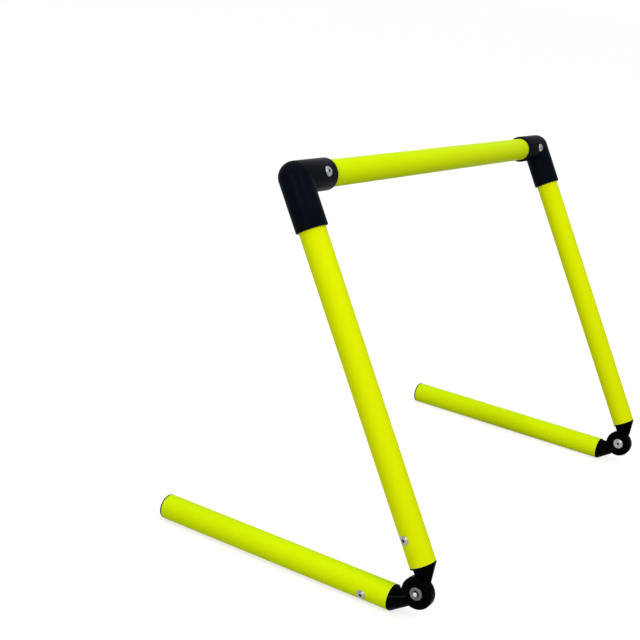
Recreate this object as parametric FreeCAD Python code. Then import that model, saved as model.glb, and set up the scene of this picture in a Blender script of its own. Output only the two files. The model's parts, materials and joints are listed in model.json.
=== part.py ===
import FreeCAD, Part
import math
import os

# Speed hurdle: a tube frame that leans over two folding feet.
# Millimetres, +Z up, feet point to +Y, crossbar along X, floor at Z = 0.

# Tube
TUBE_D = 25.0
TUBE_WALL = 1.8
FIT_GAP = 0.05

# Frame and feet
FRAME_WIDTH = 520.0
FRAME_LENGTH = 383.0
LEAN_DEG = 60.3
FOOT_REACH = 289.0

# Hinge
FOLD_GAP = 1.9
TUBE_START = 24.6
COLLAR_LENGTH = 1.5
PLUG_LENGTH = 45.0
PLUG_WALL = 3.4
PLUG_FLOOR = 6.0
EAR_R = 15.6
EAR_THICK = 5.0
EAR_GAP = 0.2
EAR_ROUND = 2.2
RECESS_R = 8.9
RECESS_DEPTH = 1.5
RECESS_EDGE = 1.2
NECK_S = 7.0
NECK_RISE = 5.1
NECK_HALF_HEIGHT = 7.2
STACK_GAP = 0.1
PIVOT_CLEARANCE = 0.08

# Elbow
ELBOW_WALL = 2.4
ELBOW_LEG = 47.5
STOP_GAP = 1.0
PASSAGE_STEP = 1.2
ELBOW_RIM = 1.0

# Foot cap
CAP_FLANGE = 1.6
CAP_ROUND = 0.7
CAP_PLUG_LENGTH = 14.0
CAP_PLUG_WALL = 2.0

# Tube rivets: shank radius, head radius, head height, tail radius, tail length, mandrel radius
TUBE_RIVET = (2.4, 4.75, 1.5, 3.3, 4.0, 1.35)
RIVET_S = 51.0
RIVET_TURN = 14.5
# Elbow rivets: distance from the corner, turn about the bar
ELBOW_RIVET_LEFT = (32.0, 5.0)
ELBOW_RIVET_RIGHT = (18.0, 18.5)

# Pivot rivets, in the same order, and their washers
PIVOT_RIVET = (2.4, 6.3, 1.6, 3.4, 1.4, 1.2)
WASHER_R = 6.2
WASHER_THICK = 1.4
WASHER_GAP = 0.2
HOLE_GAP = 0.05

# Values that follow from the sizes above
TUBE_R = TUBE_D / 2
TUBE_BORE_R = TUBE_R - TUBE_WALL
PLUG_R = TUBE_BORE_R - FIT_GAP
ELBOW_R = TUBE_R + FIT_GAP + ELBOW_WALL
ELBOW_STOP = TUBE_R + STOP_GAP
ELBOW_PASSAGE_R = TUBE_BORE_R - PASSAGE_STEP
PIVOT_OFFSET = TUBE_R + FOLD_GAP
PIVOT_Y = -(FOOT_REACH - EAR_R) / 2
PIVOT_Z = TUBE_R + PIVOT_OFFSET
HALF_WIDTH = FRAME_WIDTH / 2

VX = FreeCAD.Vector(1, 0, 0)
VY = FreeCAD.Vector(0, 1, 0)
VZ = FreeCAD.Vector(0, 0, 1)


def at(x, y, z):
    return FreeCAD.Vector(x, y, z)


def placed(shape, placement):
    copy = shape.copy()
    copy.Placement = placement.multiply(copy.Placement)
    return copy


# Placements: the frame leans, the feet lie flat, both turn about the pivot line
PIVOT = at(0, PIVOT_Y, PIVOT_Z)
FRAME = FreeCAD.Placement(PIVOT, FreeCAD.Rotation(VX, LEAN_DEG - 90))
FLAT = FreeCAD.Placement(PIVOT, FreeCAD.Rotation())
TURNED = FreeCAD.Placement(at(0, 0, 0), FreeCAD.Rotation(at(0, 1, 1), 180))


def side(x):
    return FreeCAD.Placement(at(x, 0, 0), FreeCAD.Rotation())


def foot_place(x):
    return FLAT.multiply(side(x))


def upright_place(x):
    return FRAME.multiply(side(x)).multiply(TURNED)


# Leg coordinates: pivot at the origin, X along the pivot, Y along the tube, Z to the inner side
def leg_cylinder(radius, start, end):
    return Part.makeCylinder(radius, end - start, at(0, start, -PIVOT_OFFSET), VY)


# Rivet places: on the tube's axis, head along Z
def leg_rivet_axis(sign):
    return FreeCAD.Placement(at(0, RIVET_S, -PIVOT_OFFSET), FreeCAD.Rotation(VY, 90 * sign - RIVET_TURN))


def elbow_rivet_axis(sign, rivet):
    base = at(sign * (rivet[0] - HALF_WIDTH), -PIVOT_OFFSET, FRAME_LENGTH)
    return FreeCAD.Placement(base, FreeCAD.Rotation(VX, 90 + rivet[1]))


def lifted(axis, radius):
    return axis.multiply(FreeCAD.Placement(at(0, 0, radius), FreeCAD.Rotation()))


def drilled(shape, axis):
    hole = Part.makeCylinder(TUBE_RIVET[0] + HOLE_GAP, 2 * TUBE_R)
    return shape.cut(placed(hole, axis))


def leg_tube(end, sign):
    tube = leg_cylinder(TUBE_R, TUBE_START, end)
    tube = tube.cut(leg_cylinder(TUBE_BORE_R, TUBE_START - 1, end + 1))
    return drilled(tube, leg_rivet_axis(sign))


def neck():
    collar = Part.Circle(at(0, TUBE_START - COLLAR_LENGTH, -PIVOT_OFFSET), VY, TUBE_R)
    waist = Part.Ellipse(at(0, 0, 0), NECK_HALF_HEIGHT, EAR_THICK)
    turn = FreeCAD.Rotation(VZ, VX, VY, "ZXY")
    outline = Part.Wire([waist.toShape()])
    outline.Placement = FreeCAD.Placement(at(0, NECK_S, NECK_RISE - PIVOT_OFFSET), turn)
    return Part.makeLoft([Part.Wire([collar.toShape()]), outline], True, True)


# A round seat for the rivet's head or the washer, with a sloping edge
def recess():
    mouth_r = RECESS_R + RECESS_EDGE
    seat = Part.makeCylinder(RECESS_R, 2 * TUBE_R, at(RECESS_DEPTH - EAR_THICK, 0, 0), -VX)
    edge = Part.makeCone(RECESS_R, mouth_r, RECESS_EDGE, at(RECESS_EDGE - EAR_THICK, 0, 0), -VX)
    clear = Part.makeCylinder(mouth_r, 2 * TUBE_R, at(-EAR_THICK, 0, 0), -VX)
    return seat.fuse(edge).fuse(clear)


def hinge_half(sign):
    plug_end = TUBE_START + PLUG_LENGTH
    half = leg_cylinder(PLUG_R, TUBE_START - COLLAR_LENGTH, plug_end)
    half = half.fuse(leg_cylinder(TUBE_R, TUBE_START - COLLAR_LENGTH, TUBE_START))
    half = half.fuse(neck())
    lap = Part.makeBox(2 * TUBE_R, 2 * TUBE_START, 4 * TUBE_R)
    lap.Placement.Base = at(-EAR_GAP / 2, -TUBE_START - COLLAR_LENGTH, -PIVOT_OFFSET - 2 * TUBE_R)
    half = half.cut(lap)
    ear = Part.makeCylinder(EAR_R, EAR_THICK - EAR_GAP / 2, at(-EAR_THICK, 0, 0), VX)
    rim = [edge for edge in ear.Edges if abs(edge.CenterOfMass.x + EAR_THICK) < 0.01]
    half = half.fuse(ear.makeFillet(EAR_ROUND, rim)).removeSplitter()
    half = half.cut(recess())
    bore = PIVOT_RIVET[0] + PIVOT_CLEARANCE
    half = half.cut(Part.makeCylinder(bore, 4 * TUBE_R, at(-2 * TUBE_R, 0, 0), VX))
    half = half.cut(leg_cylinder(PLUG_R - PLUG_WALL, TUBE_START + PLUG_FLOOR, plug_end + 1))
    return drilled(half, leg_rivet_axis(sign))


def foot_cap():
    tip = FOOT_REACH - CAP_FLANGE
    flange = leg_cylinder(TUBE_R, tip, FOOT_REACH)
    rim = [edge for edge in flange.Edges if abs(edge.CenterOfMass.y - FOOT_REACH) < 0.01]
    cap = flange.makeFillet(CAP_ROUND, rim)
    cap = cap.fuse(leg_cylinder(PLUG_R, tip - CAP_PLUG_LENGTH, tip)).removeSplitter()
    return cap.cut(leg_cylinder(PLUG_R - CAP_PLUG_WALL, tip - CAP_PLUG_LENGTH - 1, tip))


# Rivets stand on Z: head above zero, grip and tail below
def revolved(points):
    lines = [Part.makeLine(points[i], points[i - 1]) for i in range(len(points))]
    face = Part.Face(Part.Wire(Part.__sortEdges__(lines)))
    return face.revolve(at(0, 0, 0), VZ, 360)


def dome_points(radius, height, lip, hole):
    rise = height - lip
    ball = (radius ** 2 + rise ** 2) / (2 * rise)
    points = []
    for step in range(9):
        r = radius + (hole - radius) * step / 8
        points.append(at(r, 0, height - ball + math.sqrt(ball ** 2 - r ** 2)))
    return points


def blind_rivet(sizes, grip):
    shank, head, height, tail, length, stem = sizes
    bottom = -grip - length
    points = [at(shank, 0, 0), at(head, 0, 0)]
    points += dome_points(head, height, 0.4, stem)
    points += [at(stem, 0, bottom), at(tail - 0.8, 0, bottom), at(tail, 0, bottom + 0.8)]
    points += [at(tail, 0, -grip - 0.3), at(tail - 0.3, 0, -grip), at(shank, 0, -grip)]
    return revolved(points)


def mandrel(sizes, grip):
    shank, head, height, tail, length, stem = sizes
    bottom = -grip - length
    top = 0.35 * height
    points = [at(0, 0, top), at(stem - 0.02, 0, top), at(stem - 0.02, 0, bottom)]
    points += [at(shank * 0.92, 0, bottom), at(shank * 0.92, 0, bottom - 0.5)]
    points += [at(shank * 0.6, 0, bottom - 1.1), at(0, 0, bottom - 1.3)]
    return revolved(points)


# A flat tail in a round bore touches at its sides, below the bore's crown
def tail_drop(bore):
    return bore - math.sqrt(bore ** 2 - TUBE_RIVET[3] ** 2) + FIT_GAP


def pivot_rivet_place(sign):
    return FreeCAD.Placement(at(sign * (EAR_THICK - RECESS_DEPTH), 0, 0), FreeCAD.Rotation(VY, 90 * sign))


# Frame coordinates: pivot line on X, uprights along Z, inner side to +Y
def elbow(sign, rivet):
    corner = at(-sign * HALF_WIDTH, -PIVOT_OFFSET, FRAME_LENGTH)
    across = VX * sign
    body = Part.makeSphere(ELBOW_R, corner)
    for direction in (across, -VZ):
        leg = Part.makeCylinder(ELBOW_R, ELBOW_LEG, corner, direction)
        end = corner + direction * ELBOW_LEG
        rim = [edge for edge in leg.Edges if (edge.CenterOfMass - end).Length < 0.01]
        body = body.fuse(leg.makeFillet(ELBOW_RIM, rim))
    hollow = Part.makeSphere(ELBOW_PASSAGE_R, corner)
    for direction in (across, -VZ):
        hollow = hollow.fuse(Part.makeCylinder(ELBOW_PASSAGE_R, ELBOW_STOP + 1, corner, direction))
        start = corner + direction * ELBOW_STOP
        hollow = hollow.fuse(Part.makeCylinder(TUBE_R + FIT_GAP, ELBOW_LEG, start, direction))
    return drilled(body.removeSplitter().cut(hollow), elbow_rivet_axis(sign, rivet))


def crossbar():
    start = at(-HALF_WIDTH + ELBOW_STOP, -PIVOT_OFFSET, FRAME_LENGTH)
    length = FRAME_WIDTH - 2 * ELBOW_STOP
    tube = Part.makeCylinder(TUBE_R, length, start, VX)
    tube = tube.cut(Part.makeCylinder(TUBE_BORE_R, length, start, VX))
    for axis in elbow_axes:
        tube = drilled(tube, axis)
    return tube


def washer():
    ring = Part.makeCylinder(WASHER_R, WASHER_THICK, at(0, 0, 0), VX)
    return ring.cut(Part.makeCylinder(PIVOT_RIVET[0] + WASHER_GAP, WASHER_THICK, at(0, 0, 0), VX))


pieces = {}
elbow_axes = [elbow_rivet_axis(1, ELBOW_RIVET_LEFT), elbow_rivet_axis(-1, ELBOW_RIVET_RIGHT)]
upright_end = FRAME_LENGTH - ELBOW_STOP
foot_end = FOOT_REACH - CAP_FLANGE
leg_grip = TUBE_WALL + FIT_GAP + PLUG_WALL + tail_drop(PLUG_R - PLUG_WALL)
elbow_grip = ELBOW_R - TUBE_BORE_R + tail_drop(TUBE_BORE_R)
ear_seat = EAR_THICK - RECESS_DEPTH
pivot_grip = 2 * ear_seat + 2 * STACK_GAP + WASHER_THICK

pieces["crossbar"] = placed(crossbar(), FRAME)
pieces["elbow_left"] = placed(elbow(1, ELBOW_RIVET_LEFT), FRAME)
pieces["elbow_right"] = placed(elbow(-1, ELBOW_RIVET_RIGHT), FRAME)

leg_rivet = blind_rivet(TUBE_RIVET, leg_grip)
leg_mandrel = mandrel(TUBE_RIVET, leg_grip)
upright_rivets = []
upright_mandrels = []
for name, x, sign in (("left", -HALF_WIDTH, -1), ("right", HALF_WIDTH, 1)):
    foot = foot_place(x)
    upright = upright_place(x)
    foot_rivet_place = foot.multiply(lifted(leg_rivet_axis(sign), TUBE_R))
    upright_rivet_place = upright.multiply(lifted(leg_rivet_axis(-sign), TUBE_R))
    pieces["foot_" + name] = placed(leg_tube(foot_end, sign), foot)
    pieces["foot_cap_" + name] = placed(foot_cap(), foot)
    pieces["hinge_foot_" + name] = placed(hinge_half(sign), foot)
    pieces["foot_rivet_" + name] = placed(leg_rivet, foot_rivet_place)
    pieces["foot_mandrel_" + name] = placed(leg_mandrel, foot_rivet_place)
    pieces["upright_" + name] = placed(leg_tube(upright_end, -sign), upright)
    pieces["hinge_upright_" + name] = placed(hinge_half(-sign), upright)
    upright_rivets.append(placed(leg_rivet, upright_rivet_place))
    upright_mandrels.append(placed(leg_mandrel, upright_rivet_place))
    head = FreeCAD.Placement(at(-sign * STACK_GAP, 0, 0), FreeCAD.Rotation())
    pivot = foot.multiply(head).multiply(pivot_rivet_place(-sign))
    pieces["pivot_rivet_" + name] = placed(blind_rivet(PIVOT_RIVET, pivot_grip), pivot)
    pieces["pivot_mandrel_" + name] = placed(mandrel(PIVOT_RIVET, pivot_grip), pivot)
    seat = ear_seat + STACK_GAP
    washer_start = seat if sign > 0 else -seat - WASHER_THICK
    pieces["pivot_washer_" + name] = placed(washer(), foot.multiply(side(washer_start)))

elbow_places = [FRAME.multiply(lifted(axis, ELBOW_R)) for axis in elbow_axes]
elbow_rivet = blind_rivet(TUBE_RIVET, elbow_grip)
elbow_mandrel = mandrel(TUBE_RIVET, elbow_grip)
pieces["elbow_rivets"] = Part.makeCompound([placed(elbow_rivet, p) for p in elbow_places])
pieces["elbow_mandrels"] = Part.makeCompound([placed(elbow_mandrel, p) for p in elbow_places])
pieces["upright_rivets"] = Part.makeCompound(upright_rivets)
pieces["upright_mandrels"] = Part.makeCompound(upright_mandrels)

os.makedirs("parts", exist_ok=True)
for name, shape in pieces.items():
    shape.exportStep("parts/%s.step" % name)
    box = shape.BoundBox
    print(name, len(shape.Solids), shape.isValid(), round(shape.Volume, 1),
          [round(v, 2) for v in (box.XMin, box.XMax, box.YMin, box.YMax, box.ZMin, box.ZMax)])
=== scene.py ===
# %% [markdown]
# # A speed hurdle in Blender
# The hurdle is a bright tube frame that leans over two folding feet. Black elbows join the
# crossbar to the uprights, and black hinges join the uprights to the feet. The CAD model already
# has every piece in its true place and size, so this lesson loads it as a fixed frame, turns the
# plain solids into finished mouldings, tubes and rivets, and gives each its own surface.

# %% Load the frame
import json
import math

import bmesh
import bpy
from mathutils import Euler, Matrix, Vector


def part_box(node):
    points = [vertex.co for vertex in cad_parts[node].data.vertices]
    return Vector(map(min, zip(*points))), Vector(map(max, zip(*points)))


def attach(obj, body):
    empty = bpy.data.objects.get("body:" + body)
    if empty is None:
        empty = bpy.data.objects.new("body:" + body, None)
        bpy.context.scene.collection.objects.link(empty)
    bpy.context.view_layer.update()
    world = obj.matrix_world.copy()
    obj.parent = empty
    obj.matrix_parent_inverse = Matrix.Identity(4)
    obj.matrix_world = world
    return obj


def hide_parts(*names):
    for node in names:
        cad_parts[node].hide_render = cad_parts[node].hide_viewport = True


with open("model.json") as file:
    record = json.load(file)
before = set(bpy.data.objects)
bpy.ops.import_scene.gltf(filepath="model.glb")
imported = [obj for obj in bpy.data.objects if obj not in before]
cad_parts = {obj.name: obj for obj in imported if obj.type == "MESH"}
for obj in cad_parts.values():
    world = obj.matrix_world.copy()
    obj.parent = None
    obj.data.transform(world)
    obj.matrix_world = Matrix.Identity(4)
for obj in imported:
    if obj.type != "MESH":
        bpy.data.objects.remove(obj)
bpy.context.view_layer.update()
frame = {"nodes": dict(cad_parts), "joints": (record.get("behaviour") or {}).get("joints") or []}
nodes = frame["nodes"]
scene = bpy.context.scene
scene.view_settings.view_transform = "Standard"

# %% [markdown]
# ## The shared places
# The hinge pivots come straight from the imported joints. A leg has its own small frame: the pivot at
# its origin, X along the pivot pin, Y along the tube and Z towards the inner side of the fold. One
# matrix lays that leg flat as a foot, and another stands it up as an upright. Other sizes repeat the
# ones the CAD pieces were drawn with, in metres, and each stands with the piece that needs it first.

# %% Placements
MM = 0.001
LEAN = math.radians(60.3)

pivot_at = {joint["child"]: Vector(joint["pos_m"]) for joint in frame["joints"]}
HALF_WIDTH = pivot_at["right_foot"].x
PIVOT_LINE = Matrix.Translation((0, pivot_at["right_foot"].y, pivot_at["right_foot"].z))
FRAME_PLACE = PIVOT_LINE @ Matrix.Rotation(LEAN - math.pi / 2, 4, "X")
STAND_UP = Matrix.Rotation(math.pi, 4, Vector((0, 1, 1)))
SIDES = (("left", -1), ("right", 1))


def foot_place(side):
    return PIVOT_LINE @ Matrix.Translation((side * HALF_WIDTH, 0, 0))


def upright_place(side):
    return FRAME_PLACE @ Matrix.Translation((side * HALF_WIDTH, 0, 0)) @ STAND_UP


print("pivot line at y, z in mm:", [round(1000 * v, 1) for v in pivot_at["right_foot"].yz])

# %% [markdown]
# ## The camera
# The photograph looks down a little from the left, along the crossbar, so the near upright is
# large and the far one small. A moderately long lens gives that depth. The hurdle stands to the
# right of the picture's middle and a little below it. Turning the camera to put it there would
# change how the tubes converge, so a small lens shift does it instead.

# %% Camera
CAMERA_PLACE = (-1.13586, -0.54805, 0.54317)
CAMERA_TURN = (71.915, -7.293, -59.417)

camera = bpy.data.objects.new("camera", bpy.data.cameras.new("camera"))
scene.collection.objects.link(camera)
scene.camera = camera
camera.location = CAMERA_PLACE
camera.rotation_euler = Euler([math.radians(angle) for angle in CAMERA_TURN])
camera.data.sensor_width = 36.0
camera.data.lens = 67.8
camera.data.shift_x = -0.1094
camera.data.shift_y = 0.0781
camera.data.clip_start = 0.05
print("camera lens in mm:", camera.data.lens)

# %% [markdown]
# ## Wiring materials with plain arithmetic
# A material is a small network of nodes. Adding nodes one by one makes long code, so a wire here
# is wrapped in a class whose + - and * make the Math nodes. Every other node comes from one method
# that takes the node's type, its settings and its inputs.


# %% Wires that can be added and multiplied
class Wire:
    """One output socket that can be used in arithmetic."""

    def __init__(self, finish, socket):
        self.finish = finish
        self.socket = socket

    def math(self, operation, first, second=0.0):
        return self.finish.node("ShaderNodeMath", {"operation": operation}, {0: first, 1: second})

    def __add__(self, other):
        return self.math("ADD", self, other)

    def __mul__(self, other):
        return self.math("MULTIPLY", self, other)

    def __sub__(self, other):
        return self.math("SUBTRACT", self, other)

    def __rsub__(self, other):
        return self.math("SUBTRACT", other, self)

    def sine(self):
        return self.math("SINE", self)

    def larger(self, other):
        return self.math("MAXIMUM", self, other)

    __radd__ = __add__
    __rmul__ = __mul__


print("wires ready")


# %% Finishes made of nodes
class Finish:
    """A material or a world with its nodes, wired from its shader backwards."""

    def __init__(self, owner, shader="Principled BSDF"):
        owner.use_nodes = True
        self.owner = owner
        self.tree = owner.node_tree
        self.shader = self.tree.nodes[shader]

    def node(self, kind, settings=None, inputs=None, output=0):
        made = self.tree.nodes.new(kind)
        for key, value in (settings or {}).items():
            if key == "stops":
                for stop, (place, shade) in zip(made.color_ramp.elements, value):
                    stop.position = place
                    stop.color = (shade, shade, shade, 1)
            else:
                setattr(made, key, value)
        for key, value in (inputs or {}).items():
            self.plug(made.inputs[key], value)
        return Wire(self, made.outputs[output])

    def plug(self, socket, value):
        if isinstance(value, Wire):
            self.tree.links.new(value.socket, socket)
        else:
            socket.default_value = value

    def set(self, **inputs):
        for key, value in inputs.items():
            self.plug(self.shader.inputs[key.replace("_", " ")], value)
        return self

    def place(self, turn=(0, 0, 0), stretch=(1, 1, 1)):
        """Object coordinates, turned and then stretched, for the textures to read."""
        point = self.node("ShaderNodeTexCoord", output="Object")
        if any(turn):
            point = self.node("ShaderNodeMapping", None, {"Vector": point, "Rotation": turn})
        return self.node("ShaderNodeMapping", None, {"Vector": point, "Scale": stretch})

    def noise(self, point, scale, detail):
        return self.node("ShaderNodeTexNoise", None, {"Vector": point, "Scale": scale, "Detail": detail})

    def steps(self, value, low, high):
        """0 below low, 1 above high and a soft slope between."""
        return self.node("ShaderNodeValToRGB", {"stops": [(low, 0), (high, 1)]}, {"Fac": value})

    def mix(self, amount, first, second):
        settings = {"data_type": "RGBA"}
        return self.node("ShaderNodeMix", settings, {0: amount, 6: first, 7: second}, output=2)

    def attribute(self, name):
        return self.node("ShaderNodeAttribute", {"attribute_name": name}, output="Fac")

    def bump(self, height, depth, strength):
        inputs = {"Height": height, "Distance": depth, "Strength": strength}
        return self.node("ShaderNodeBump", None, inputs)


print("material kit ready")

# %% [markdown]
# ## The tube's finish
# The tubes are extruded plastic in a fluorescent yellow-green. The uprights get a slightly yellower
# copy of it, a painted tint of the warm light that falls on them. Extrusion leaves faint streaks
# along the tube, so the streak pattern is stretched along its length, and each tube is given its own
# turn. A very fine orange peel breaks up the gloss, and a few handling scuffs dull it. The sawn rim
# at each end shows paler, and a stored value on the mesh says where that rim is.

# %% Tube finish
LIME = ((0.62, 0.82, 0.0015, 1), (0.69, 0.89, 0.002, 1))
# Painted light: the uprights' yellower copy of LIME stands for the warm light that falls on them.
LIME_WARM_LIT = ((0.68, 0.81, 0.0012, 1), (0.75, 0.88, 0.0016, 1))
TUBE_SHEEN = (0.80, 0.95, 0.05, 1)
TUBE_CUT = (0.86, 0.94, 0.42, 1)
ALONG_STREAKS = (1, 0.02, 1)
ALONG_SCUFFS = (1, 0.12, 1)


def tube_finish(name, turn, tone_pair):
    finish = Finish(bpy.data.materials.new(name))
    point = finish.place(turn)
    streak = finish.noise(finish.place(turn, ALONG_STREAKS), scale=700.0, detail=3.0)
    cloud = finish.noise(point, scale=14.0, detail=3.0)
    peel = finish.noise(point, scale=900.0, detail=1.0)
    rubbed = finish.noise(finish.place(turn, ALONG_SCUFFS), scale=160.0, detail=5.0)
    scuff = finish.steps(rubbed, low=0.66, high=0.74)
    paint = finish.mix(cloud * 0.7 + streak * 0.3, *tone_pair)
    finish.set(
        Base_Color=finish.mix(finish.attribute("cut") * 0.8, paint, TUBE_CUT),
        Roughness=0.36 + streak * 0.14 + scuff * 0.12,
        Normal=finish.bump(peel * 0.6 + streak * 0.4, depth=0.06 * MM, strength=0.5),
        Specular_IOR_Level=0.01,
        Specular_Tint=TUBE_SHEEN,
    )
    return finish.owner


CROSSBAR_FINISH = tube_finish("fluorescent_tube_crossbar", (0, 0, math.pi / 2), LIME)
# The uprights take the yellower copy, a painted tint of the warm light on them.
UPRIGHT_FINISH = tube_finish("fluorescent_tube_upright", (-LEAN, 0, 0), LIME_WARM_LIT)
FOOT_FINISH = tube_finish("fluorescent_tube_foot", (0, 0, 0), LIME)
print("tube finishes:", CROSSBAR_FINISH.name, UPRIGHT_FINISH.name, FOOT_FINISH.name)

# %% [markdown]
# ## The black mouldings
# Elbows, hinges and end caps are injection moulded. The elbows have a soft blue-black satin, and
# the hinges a deeper black. The mould's spark-eroded skin is a fine pebble in the surface, and
# slow patches in the gloss come from the way the plastic cooled. A modelled pebble would need
# millions of faces, so a bump in the material makes it. Handling leaves a few paler rubs.

# %% Moulded finishes
RUB_TURN = (0.3, 0.5, 0)
ALONG_RUBS = (1, 0.2, 1)


def moulded_finish(name, dark, light, gloss, sheen, pebble):
    finish = Finish(bpy.data.materials.new(name))
    point = finish.place()
    patch = finish.noise(point, scale=38.0, detail=3.0)
    skin = finish.noise(point, scale=1500.0, detail=2.0)
    handled = finish.noise(finish.place(RUB_TURN, ALONG_RUBS), scale=220.0, detail=4.0)
    rub = finish.steps(handled, low=0.64, high=0.75)
    finish.set(
        Base_Color=finish.mix(patch * 0.7 + rub * 0.3, dark, light),
        Roughness=gloss + patch * 0.12 + rub * 0.06,
        Normal=finish.bump(skin, depth=pebble, strength=0.6),
        Specular_IOR_Level=sheen,
    )
    return finish.owner


ELBOW_FINISH = moulded_finish(
    "moulded_blue_black", dark=(0.0014, 0.0027, 0.0058, 1), light=(0.0036, 0.0063, 0.0112, 1),
    gloss=0.3, sheen=0.01, pebble=0.04 * MM,
)
HINGE_FINISH = moulded_finish(
    "moulded_deep_black", dark=(0.0003, 0.0003, 0.0004, 1), light=(0.0010, 0.0010, 0.0012, 1),
    gloss=0.2, sheen=0.012, pebble=0.04 * MM,
)
CAP_FINISH = moulded_finish(
    "moulded_cap_black", dark=(0.0014, 0.0014, 0.0016, 1), light=(0.0035, 0.0035, 0.004, 1),
    gloss=0.3, sheen=0.012, pebble=0.05 * MM,
)
print("moulded finishes:", ELBOW_FINISH.name, HINGE_FINISH.name, CAP_FINISH.name)

# %% [markdown]
# ## The metals
# The blind rivets are bright aluminium, their broken stems are steel and the washers are plated
# steel. Pressing and turning leave rings about the axis. A rivet can point any way, so its rings
# can't come from Object coordinates: each turned mesh stores every vertex's distance from its own
# axis, and the rings are a sine of that distance. The hole through a rivet's head, the stem's end
# down in it and the outer flank of a pivot's tail are painted dark as shade, and a second stored
# value says where that painted shade goes.

# %% Metal finishes
# Painted shade: the dark colour put in rivet holes, on the stem ends in them and on a pivot tail's
# flank.
PAINTED_SHADE = (0.012, 0.012, 0.011, 1)


def metal_finish(name, bright, worn, gloss, ring_pitch, ring_depth):
    finish = Finish(bpy.data.materials.new(name))
    point = finish.place()
    grain = finish.noise(point, scale=2400.0, detail=3.0)
    smear = finish.noise(point, scale=420.0, detail=2.0)
    phase = finish.attribute("radius") * (2 * math.pi / ring_pitch) + smear * 4.0
    rings = phase.sine() * 0.5 + 0.5
    metal = finish.mix(smear * 0.6 + rings * 0.4, bright, worn)
    finish.set(
        # The marked spots take the painted shade colour in place of the metal.
        Base_Color=finish.mix(finish.attribute("painted_shade_mask"), metal, PAINTED_SHADE),
        Roughness=gloss + grain * 0.12 + rings * 0.08,
        Normal=finish.bump(rings * 0.7 + grain * 0.3, depth=ring_depth, strength=0.7),
        Metallic=1.0,
    )
    return finish.owner


RIVET_FINISH = metal_finish(
    "pressed_aluminium", bright=(0.46, 0.46, 0.47, 1), worn=(0.17, 0.17, 0.175, 1),
    gloss=0.24, ring_pitch=1.1 * MM, ring_depth=0.05 * MM,
)
STEM_FINISH = metal_finish(
    "snapped_steel", bright=(0.62, 0.62, 0.62, 1), worn=(0.36, 0.36, 0.36, 1),
    gloss=0.28, ring_pitch=0.4 * MM, ring_depth=0.04 * MM,
)
WASHER_FINISH = metal_finish(
    "plated_steel", bright=(0.22, 0.22, 0.22, 1), worn=(0.09, 0.09, 0.09, 1),
    gloss=0.28, ring_pitch=0.6 * MM, ring_depth=0.03 * MM,
)
print("metal finishes:", RIVET_FINISH.name, STEM_FINISH.name, WASHER_FINISH.name)

# %% [markdown]
# ## Turning on a lathe
# Tubes, rivets, stems and washers are all round, so they are turned: an outline of radius and
# height is spun about Z. An outline that starts and ends on the axis is left open and its poles
# are merged. Real edges are never knife sharp, so the sharp rings get a small bevel afterwards.

# %% Lathe and bevel
SHARP = math.radians(34)


def turned(outline, steps, closed=True):
    bm = bmesh.new()
    corners = [bm.verts.new((radius, 0, height)) for radius, height in outline]
    first = 0 if closed else 1
    edges = [bm.edges.new((corners[i - 1], corners[i])) for i in range(first, len(corners))]
    bmesh.ops.spin(
        bm, geom=corners + edges, axis=(0, 0, 1), angle=2 * math.pi, steps=steps, use_merge=True
    )
    bmesh.ops.remove_doubles(bm, verts=bm.verts, dist=1e-7)
    bmesh.ops.recalc_face_normals(bm, faces=bm.faces)
    return bm


def bevelled(bm, edges, offset, segments):
    bmesh.ops.bevel(
        bm, geom=edges, offset=offset, offset_type="OFFSET", segments=segments,
        profile=0.5, affect="EDGES", clamp_overlap=True, material=-1,
    )
    return bm


def softened(bm, offset):
    sharp_edges = [edge for edge in bm.edges if edge.calc_face_angle(0) > SHARP]
    return bevelled(bm, sharp_edges, offset, segments=3)


print("lathe ready, edges over", round(math.degrees(SHARP)), "degrees count as sharp")

# %% [markdown]
# ## From meshes to pieces
# Several bmeshes may make one piece, such as two rivet heads that are one node in the CAD model.
# They are joined, shaded smooth up to the sharp edges, and tied to the body that they move with.


# %% Stored values, moves and finished pieces
def note(bm, name, measure):
    """Stores measure(position) on every vertex, for a material to read."""
    layer = bm.verts.layers.float.new(name)
    for vertex in bm.verts:
        vertex[layer] = measure(vertex.co)
    return bm


def moved(bm, matrix):
    bmesh.ops.transform(bm, matrix=matrix, verts=bm.verts)
    return bm


def piece(name, parts, material, body, slot, *stands_for):
    """Joins bmeshes into one finished object that rides on a CAD body."""
    mesh = bpy.data.meshes.new(name)
    whole = bmesh.new()
    for bm in parts:
        part = bpy.data.meshes.new(name + "_part")
        bm.to_mesh(part)
        bm.free()
        whole.from_mesh(part)
        bpy.data.meshes.remove(part)
    for face in whole.faces:
        face.smooth = True
    for edge in whole.edges:
        edge.smooth = edge.calc_face_angle(0) < SHARP
    whole.to_mesh(mesh)
    whole.free()
    mesh.materials.append(material)
    made = bpy.data.objects.new(name, mesh)
    scene.collection.objects.link(made)
    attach(made, body)
    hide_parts(*stands_for)
    print(name, len(mesh.polygons), "faces")
    return made


# %% [markdown]
# ## The tubes
# Each tube is a ring of plastic with sawn ends. A cylinder with a Solidify modifier could make one,
# but here the four corners of its wall are spun round, which leaves clean rims to bevel. They get a
# third of a millimetre of rounding, which catches a thin line of light where a tube meets its hinge.
# Tubes lie along the leg's Y axis, so the lathe's Z is laid over to it first.

# %% Tube shape
TUBE_R = 12.5 * MM
TUBE_WALL = 1.8 * MM
TUBE_START = 24.6 * MM
TUBE_STEPS = 96
PIVOT_OFFSET = 14.4 * MM
RIM_ROUND = 0.3 * MM
RIM_DEPTH = 0.6 * RIM_ROUND
LAY_ALONG_Y = Matrix.Rotation(-math.pi / 2, 4, "X")
LAY_ALONG_X = Matrix.Rotation(math.pi / 2, 4, "Y")


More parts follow.
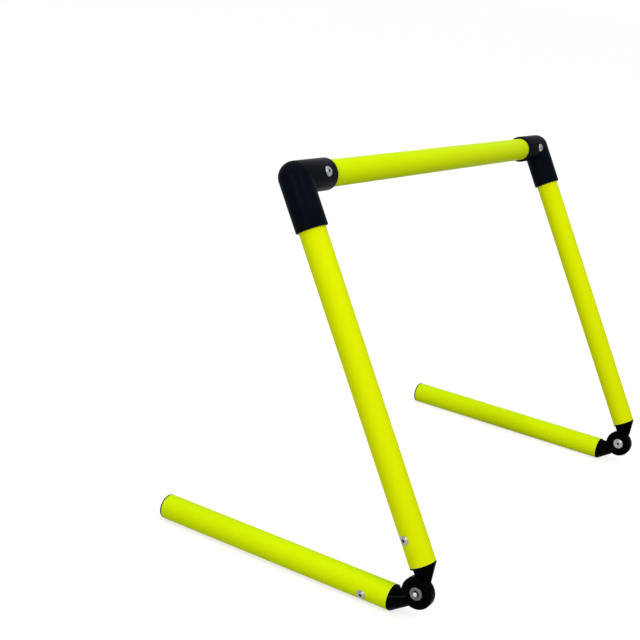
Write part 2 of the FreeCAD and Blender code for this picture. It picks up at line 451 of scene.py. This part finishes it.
def tube(start, end):
    bore = TUBE_R - TUBE_WALL
    bm = turned([(TUBE_R, start), (TUBE_R, end), (bore, end), (bore, start)], TUBE_STEPS)
    softened(bm, RIM_ROUND)
    return note(bm, "cut", lambda co: float(min(co.z - start, end - co.z) < RIM_DEPTH))


def leg_tube(end):
    return moved(tube(TUBE_START, end), Matrix.Translation((0, 0, -PIVOT_OFFSET)) @ LAY_ALONG_Y)


print("tube across in mm:", round(2 * TUBE_R / MM, 1))

# %% Feet, uprights and crossbar
FRAME_LENGTH = 383.0 * MM
ELBOW_STOP = 13.5 * MM
BAR_PLACE = FRAME_PLACE @ Matrix.Translation((0, -PIVOT_OFFSET, FRAME_LENGTH))

foot_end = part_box("foot_left")[1].y - pivot_at["left_foot"].y
for name, side in SIDES:
    foot = moved(leg_tube(foot_end), foot_place(side))
    piece("foot_tube_" + name, [foot], FOOT_FINISH, name + "_foot", "tube", "foot_" + name)
    upright = moved(leg_tube(FRAME_LENGTH - ELBOW_STOP), upright_place(side))
    piece("upright_tube_" + name, [upright], UPRIGHT_FINISH, "frame", "tube", "upright_" + name)

bar_half = HALF_WIDTH - ELBOW_STOP
bar = moved(tube(-bar_half, bar_half), BAR_PLACE @ LAY_ALONG_X)
piece("crossbar_tube", [bar], CROSSBAR_FINISH, "frame", "tube", "crossbar")

# %% [markdown]
# ## The elbows
# An elbow is two round sleeves that meet in a ball corner. Outside, the corner is a quarter of a
# ball. Inside, the sleeves meet in a crease, and the mould maker rounds that crease. A boolean of
# two cylinders would leave a hard line there, so the skin is made by hand: a ring is drawn out to
# one sleeve and cut on the mitre, the other sleeve is its reflection, the ball is a quarter turn
# of the ring's outer half, and the crease is bevelled. Solidify then gives the skin its wall.

# %% Elbow skin
ELBOW_R = 14.95 * MM
ELBOW_LEG = 47.5 * MM
CREASE_ROUND = 2.4 * MM
SLEEVE_STEPS = 96
BALL_STEPS = 24
CREASE_STEPS = 6
TINY = 1e-6
MITRE_FLIP = Matrix(((0, 0, -1, 0), (0, 1, 0, 0), (-1, 0, 0, 0), (0, 0, 0, 1)))
FACE_X = Matrix.Rotation(math.pi / 2, 4, "Y")


def on_crease(vertex):
    return abs(vertex.co.x + vertex.co.z) < TINY and vertex.co.z < -TINY


def only_vertices(geometry):
    return [item for item in geometry if isinstance(item, bmesh.types.BMVert)]


def elbow_skin():
    bm = bmesh.new()
    bmesh.ops.create_circle(bm, cap_ends=False, segments=SLEEVE_STEPS, radius=ELBOW_R, matrix=FACE_X)
    ring = list(bm.edges)
    outer = [edge for edge in ring if min(v.co.z for v in edge.verts) > -TINY]
    mouth = only_vertices(bmesh.ops.extrude_edge_only(bm, edges=ring)["geom"])
    bmesh.ops.translate(bm, vec=(ELBOW_LEG, 0, 0), verts=mouth)
    for vertex in bm.verts:
        if vertex.co.x < TINY and vertex.co.z < 0:
            vertex.co.x = -vertex.co.z
    copy = bmesh.ops.duplicate(bm, geom=bm.verts[:] + bm.edges[:] + bm.faces[:])["geom"]
    bmesh.ops.transform(bm, matrix=MITRE_FLIP, verts=only_vertices(copy))
    ball = list(dict.fromkeys(v for edge in outer for v in edge.verts))
    bmesh.ops.spin(bm, geom=ball + outer, axis=(0, 1, 0), angle=-math.pi / 2, steps=BALL_STEPS)
    bmesh.ops.remove_doubles(bm, verts=bm.verts, dist=TINY)
    bmesh.ops.recalc_face_normals(bm, faces=bm.faces)
    crease = [edge for edge in bm.edges if all(on_crease(v) for v in edge.verts)]
    return bevelled(bm, crease, CREASE_ROUND, CREASE_STEPS)


print("elbow sleeve across in mm:", round(2 * ELBOW_R / MM, 1))

# %% Place the elbows
ELBOW_WALL = 2.4 * MM
ELBOW_RIM = 0.8 * MM
ELBOW_RIM_ANGLE = math.radians(60)

for name, side in SIDES:
    skin = elbow_skin()
    if side > 0:
        bmesh.ops.scale(skin, vec=(-1, 1, 1), verts=skin.verts)
        bmesh.ops.reverse_faces(skin, faces=skin.faces)
    moved(skin, BAR_PLACE @ Matrix.Translation((side * HALF_WIDTH, 0, 0)))
    sleeve = piece("elbow_sleeve_" + name, [skin], ELBOW_FINISH, "frame", "elbow", "elbow_" + name)
    wall = sleeve.modifiers.new("wall", "SOLIDIFY")
    wall.thickness = ELBOW_WALL
    wall.offset = -1
    rim = sleeve.modifiers.new("rim", "BEVEL")
    rim.width = ELBOW_RIM
    rim.segments = 3
    rim.limit_method = "ANGLE"
    rim.angle_limit = ELBOW_RIM_ANGLE

# %% [markdown]
# ## The tube rivets
# A blind rivet has a low domed head with a hole in it, and deep in the hole the broken end of the
# steel stem. The dome is an outline of a few points whose rings are bevelled into a curve. On a
# round tube the pulled-up head hugs the surface, so every vertex of the head drops by the tube's
# fall away from the crown at that distance from the middle. Outlines are in millimetres.

# %% Rivet shapes
RIVET_OUTLINE = (
    (1.35, -5), (2.4, -5), (2.4, 0), (4.75, 0), (4.75, 0.5), (3.9, 1.15), (2.5, 1.5),
    (1.75, 1.5), (1.35, 1.0),
)
STEM_OUTLINE = ((0, -5), (1.32, -5), (1.32, 0.05), (0.95, 0.3), (0.45, 0.15), (0, 0.22))
RIVET_STEPS = 48
HOLE_R = 1.5 * MM
HOLE_FLOOR = -2 * MM


def lathe_part(outline, closed, rounding, is_painted_shade=lambda co: False):
    bm = turned([(radius * MM, height * MM) for radius, height in outline], RIVET_STEPS, closed)
    softened(bm, rounding * MM)
    # Marks the vertices that the metal finish paints dark as shade.
    note(bm, "painted_shade_mask", lambda co: float(is_painted_shade(co)))
    return note(bm, "radius", lambda co: co.xy.length)


def in_bore(co):
    """Inside the hole through a rivet's head."""
    return co.xy.length < HOLE_R and co.z > HOLE_FLOOR


def snapped(co):
    """The broken end of a stem, down in that hole, painted dark as shade."""
    return co.z > HOLE_FLOOR


def hug(bm, radius):
    """Bends a head that stands on Z round a tube that lies along its Y."""
    for vertex in bm.verts:
        vertex.co.z -= radius - math.sqrt(radius**2 - vertex.co.x**2)
    return bm


def tube_rivet(surface_radius, place):
    head = lathe_part(RIVET_OUTLINE, closed=True, rounding=0.28, is_painted_shade=in_bore)
    stem = lathe_part(STEM_OUTLINE, closed=False, rounding=0.12, is_painted_shade=snapped)
    return moved(hug(head, surface_radius), place), moved(stem, place)


print("rivet head across in mm:", 2 * max(radius for radius, height in RIVET_OUTLINE))

# %% [markdown]
# ## Where the rivets go
# One rivet holds each hinge plug in its tube, and one holds each elbow on the crossbar. The four legs
# are drilled alike, so one distance and one angle about the tube serve them all. The two elbow rivets
# differ in the photograph, so each has its own distance from the corner and its own angle.

# %% Place the rivets
RIVET_ALONG = 51.0 * MM
RIVET_TURN = math.radians(14.5)
ELBOW_RIVETS = (
    (-HALF_WIDTH + 32.0 * MM, math.radians(5.0)),
    (HALF_WIDTH - 18.0 * MM, math.radians(18.5)),
)


def leg_rivet_place(side):
    on_axis = Matrix.Translation((0, RIVET_ALONG, -PIVOT_OFFSET))
    turn = Matrix.Rotation(side * math.pi / 2 - RIVET_TURN, 4, "Y")
    return on_axis @ turn @ Matrix.Translation((0, 0, TUBE_R))


def elbow_rivet_place(x, turn):
    back = Matrix.Translation((x, 0, 0)) @ Matrix.Rotation(math.pi / 2 + turn, 4, "X")
    crown = Matrix.Translation((0, 0, ELBOW_R)) @ Matrix.Rotation(math.pi / 2, 4, "Z")
    return BAR_PLACE @ back @ crown


def rivet_pieces(name, made, body, heads_node, stems_node):
    piece(name + "_heads", [head for head, stem in made], RIVET_FINISH, body, "rivet", heads_node)
    piece(name + "_stems", [stem for head, stem in made], STEM_FINISH, body, "mandrel", stems_node)


elbow_made = [tube_rivet(ELBOW_R, elbow_rivet_place(x, turn)) for x, turn in ELBOW_RIVETS]
rivet_pieces("elbow_rivet", elbow_made, "frame", "elbow_rivets", "elbow_mandrels")
upright_made = [tube_rivet(TUBE_R, upright_place(side) @ leg_rivet_place(-side)) for name, side in SIDES]
rivet_pieces("upright_rivet", upright_made, "frame", "upright_rivets", "upright_mandrels")
for name, side in SIDES:
    foot_made = [tube_rivet(TUBE_R, foot_place(side) @ leg_rivet_place(side))]
    taken = ("foot_rivet_" + name, "foot_mandrel_" + name)
    rivet_pieces("foot_rivet_" + name, foot_made, name + "_foot", *taken)

# %% [markdown]
# ## The pivots
# Each hinge turns on a large-flange blind rivet. Its wide head sits in the recess on the inner
# side. On the outer side its tail is spread over a washer with turned rings, and the ball of the
# stem shows in the middle. All of it is round, so it is turned as the tube rivets are. The outlines
# run from the tail at the bottom to the head at the top, and these sizes are in millimetres too.

# %% Pivot outlines
EAR_SEAT = 3.5
STACK_GAP = 0.1
WASHER_THICK = 1.4
GRIP = 2 * EAR_SEAT + 2 * STACK_GAP + WASHER_THICK
TAIL = -GRIP - 1.4
PIVOT_OUTLINE = (
    (1.2, TAIL), (2.7, TAIL), (3.4, TAIL + 0.6), (3.4, -GRIP + 0.1), (2.4, -GRIP), (2.4, 0),
    (6.3, 0), (6.3, 0.45), (5.5, 1.0), (3.6, 1.45), (2.4, 1.6), (1.8, 1.5), (1.2, 0.8),
)
PIVOT_STEM = (
    (0, TAIL - 1.3), (1.3, TAIL - 1.15), (2.15, TAIL - 0.5), (2.2, TAIL), (1.18, TAIL),
    (1.18, -0.9), (0.8, -0.6), (0, -0.75),
)
WASHER_OUTLINE = (
    (2.6, 0), (6.2, 0), (6.2, 1.1), (5.9, 1.4), (5.5, 1.4), (5.3, 1.15), (4.9, 1.15), (4.7, 1.4),
    (4.3, 1.4), (4.1, 1.2), (3.8, 1.2), (3.6, 1.4), (2.6, 1.4),
)
print("pivot grip in mm:", round(GRIP, 2))

# %% Pivot rivets and washers
TAIL_FLANK_R = 2.5 * MM


def in_painted_shade(co):
    """The hole in the head and the crushed flank of the tail, both painted dark as shade."""
    return in_bore(co) or (co.z < -GRIP * MM and co.xy.length > TAIL_FLANK_R)


seat = (EAR_SEAT + STACK_GAP) * MM
for name, side in SIDES:
    inner = Matrix.Rotation(-side * math.pi / 2, 4, "Y")
    outer = Matrix.Rotation(side * math.pi / 2, 4, "Y")
    head_place = foot_place(side) @ Matrix.Translation((-side * seat, 0, 0)) @ inner
    washer_place = foot_place(side) @ Matrix.Translation((side * seat, 0, 0)) @ outer
    rivet = moved(lathe_part(PIVOT_OUTLINE, closed=True, rounding=0.3, is_painted_shade=in_painted_shade), head_place)
    stem = moved(lathe_part(PIVOT_STEM, closed=False, rounding=0.25, is_painted_shade=snapped), head_place)
    washer = moved(lathe_part(WASHER_OUTLINE, closed=True, rounding=0.06), washer_place)
    piece("pivot_head_" + name, [rivet], RIVET_FINISH, "frame", "rivet", "pivot_rivet_" + name)
    piece("pivot_stem_" + name, [stem], STEM_FINISH, "frame", "mandrel", "pivot_mandrel_" + name)
    piece("pivot_ring_" + name, [washer], WASHER_FINISH, "frame", "washer", "pivot_washer_" + name)

# %% [markdown]
# ## The hinges and end caps
# These mouldings already have their true form in the CAD model: plug, collar, half-lap neck, round
# ear and recess. Modelling them again would only copy them, so they stay as they are and take their
# finish.

# %% Finishes for the CAD mouldings
for name, side in SIDES:
    for node, material in (
        ("hinge_upright_" + name, HINGE_FINISH),
        ("hinge_foot_" + name, HINGE_FINISH),
        ("foot_cap_" + name, CAP_FINISH),
    ):
        nodes[node].data.materials.clear()
        nodes[node].data.materials.append(material)
print("dressed CAD nodes:", [n for n in nodes if not nodes[n].hide_render])

# %% [markdown]
# ## The floor
# The studio floor is pale and plain. It is white to the camera and to reflections only, so the
# background is clean while the lamps alone decide how bright the hurdle looks. Part of its white
# comes from the lamps, and there the hurdle leaves its shadow.

# %% Floor
FLOOR_HALF = 60
FLOOR_SHADE = (0.44, 0.4, 0.4, 1)
FLOOR_LIFT = 0.7


def seen_directly(finish):
    """1 for rays from the camera, mirrors and glass, else 0."""
    from_camera, from_mirror, through_glass = [
        finish.node("ShaderNodeLightPath", output=name)
        for name in ("Is Camera Ray", "Is Glossy Ray", "Is Transmission Ray")
    ]
    return from_camera.larger(from_mirror).larger(through_glass)


floor_bm = bmesh.new()
bmesh.ops.create_grid(floor_bm, x_segments=1, y_segments=1, size=FLOOR_HALF)
floor_mesh = bpy.data.meshes.new("floor")
floor_bm.to_mesh(floor_mesh)
floor_bm.free()
floor = bpy.data.objects.new("floor", floor_mesh)
scene.collection.objects.link(floor)

floor_finish = Finish(bpy.data.materials.new("studio_floor"))
floor_finish.set(
    Base_Color=FLOOR_SHADE, Roughness=0.9, Specular_IOR_Level=0.0,
    Emission_Color=seen_directly(floor_finish) * FLOOR_LIFT, Emission_Strength=1.0,
)
floor_mesh.materials.append(floor_finish.owner)
print("floor:", floor_finish.owner.name)

# %% [markdown]
# ## The light
# A wide cool light overhead is a sun with a large disc, which lights the floor evenly out to the
# horizon. A warmer softbox stands on the right. The softbox on the left stands further off and is
# stronger, so that the near and the far upright get about the same light from it. The surroundings
# add a weak light from all round, and look white only to the camera and to reflections.

# %% Surroundings
SKY_LIGHT = 0.42

sky = Finish(bpy.data.worlds.new("studio_sky"), "Background")
seen = seen_directly(sky)
sky.set(Color=(1, 1, 1, 1), Strength=seen + (1 - seen) * SKY_LIGHT)
scene.world = sky.owner
print("surroundings:", scene.world.name)

# %% Lamps
FLOOR_MIDDLE = (0, 0, 0)
HURDLE_MIDDLE = (0, 0, 0.2)


def lamp(kind, name, place, aim, power, colour):
    light = bpy.data.lights.new(name, kind)
    light.energy = power
    light.color = colour
    made = bpy.data.objects.new(name, light)
    scene.collection.objects.link(made)
    made.location = place
    made.rotation_euler = (Vector(aim) - Vector(place)).to_track_quat("-Z", "Y").to_euler()
    return light


overhead = lamp("SUN", "overhead", (0.3, 0.3, 3.0), FLOOR_MIDDLE, 1.0, (0.78, 1.0, 1.0))
overhead.angle = math.radians(70)
key = lamp("AREA", "right_key", (-0.8, -1.6, 1.9), HURDLE_MIDDLE, 20.0, (1.0, 0.88, 0.78))
key.size = 0.7
fill = lamp("AREA", "left_fill", (-5.6, -1.05, 1.85), HURDLE_MIDDLE, 96.0, (1.0, 0.96, 0.92))
fill.size = 0.96
